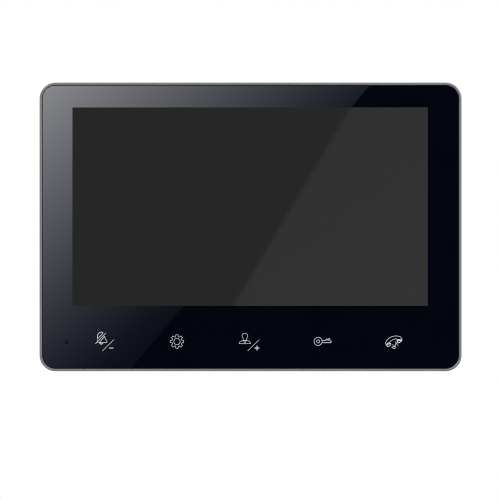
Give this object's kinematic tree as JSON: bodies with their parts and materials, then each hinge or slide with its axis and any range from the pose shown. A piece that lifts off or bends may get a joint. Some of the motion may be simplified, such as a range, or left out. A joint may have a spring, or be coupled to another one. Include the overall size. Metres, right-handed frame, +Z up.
{
  "type": "video intercom monitor",
  "caption": "Hands-free video intercom monitor with a dark glass front, wide screen, touch keys and a hooked wall bracket.",
  "frame": {"origin": "centre of the wall bracket's back face, on the wall, midway between the two box screws", "axes": "+X right as seen from the front, +Y into the wall, +Z up; the screen faces -Y"},
  "size_m": [0.183, 0.021, 0.1252],
  "materials": {
    "zinc_steel": "zinc plated sheet",
    "silver_trim": "satin silver",
    "black_plastic": "moulded, fine grain",
    "dark_glass": "polished glass, printed blue-black behind",
    "black_tape": "double-sided tape",
    "cover_plastic": "spark-eroded ABS",
    "screw_steel": "plated",
    "label_film": "blank label film",
    "black_foam": "closed-cell foam",
    "display_steel": "tin plated sheet",
    "display_glass": "anti-glare polariser on glass",
    "white_film": "optical film",
    "clear_acrylic": "moulded acrylic",
    "led_phosphor": "phosphor dome",
    "white_plastic": "moulded",
    "amber_flex": "polyimide",
    "board_green": "solder mask",
    "copper": "plated copper",
    "chip_black": "moulded epoxy",
    "black_rubber": "silicone",
    "can_aluminium": "drawn can",
    "red_wire": "vinyl sleeve",
    "speaker_steel": "painted",
    "magnet_nickel": "nickel plated",
    "cone_film": "pressed film",
    "black_wire": "vinyl sleeve",
    "ferrite": "sintered",
    "ceramic_tan": "fired ceramic",
    "white_nylon": "moulded nylon",
    "gold_pin": "gold flash",
    "card_black": "moulded",
    "knob_black": "moulded"
  },
  "bodies": {
    "bracket": {"wall_bracket": "zinc_steel"},
    "monitor": {"rim_trim": "silver_trim", "front_frame": "black_plastic", "front_glass": "dark_glass", "glass_tape": "black_tape", "rear_cover": "cover_plastic", "cover_screws": "screw_steel", "rating_label": "label_film", "lcd_gasket": "black_foam", "lcd_frame": "display_steel", "lcd_cell": "display_glass", "optical_films": "white_film", "light_guide": "clear_acrylic", "reflector_sheet": "white_film", "led_strip": "led_phosphor", "lcd_tray": "white_plastic", "lcd_flex": "amber_flex", "lcd_clamps": "display_steel", "clamp_screws": "screw_steel", "touch_board": "board_green", "touch_pads": "copper", "touch_film": "white_film", "key_leds": "led_phosphor", "touch_chip": "chip_black", "touch_cable": "amber_flex", "mic_boot": "black_rubber", "microphone": "can_aluminium", "mic_leads": "red_wire", "speaker_basket": "speaker_steel", "speaker_magnet": "magnet_nickel", "speaker_cone": "cone_film", "speaker_gasket": "black_foam", "speaker_leads": "black_wire", "main_board": "board_green", "processor": "chip_black", "memory_chips": "chip_black", "video_decoder": "chip_black", "power_coils": "ferrite", "bulk_capacitors": "can_aluminium", "small_capacitors": "ceramic_tan", "crystal": "can_aluminium", "door_headers": "white_nylon", "header_pins": "gold_pin", "lead_sockets": "white_nylon", "flex_sockets": "white_nylon", "board_screws": "screw_steel", "card_socket": "display_steel", "switch_body": "display_steel"},
    "power_switch_knob": {"switch_knob": "knob_black"},
    "card": {"memory_card": "card_black"}
  },
  "joints": [
    {"name": "monitor_lift", "type": "slide", "parent": "bracket", "child": "monitor", "axis": [0, 0, 1], "range_m": [0, 0.006]},
    {"name": "power_switch", "type": "slide", "parent": "monitor", "child": "power_switch_knob", "axis": [0, 0, 1], "range_m": [0, 0.003]},
    {"name": "card_slide", "type": "slide", "parent": "monitor", "child": "card", "axis": [-1, 0, 0], "range_m": [-0.0006, 0.014]}
  ]
}
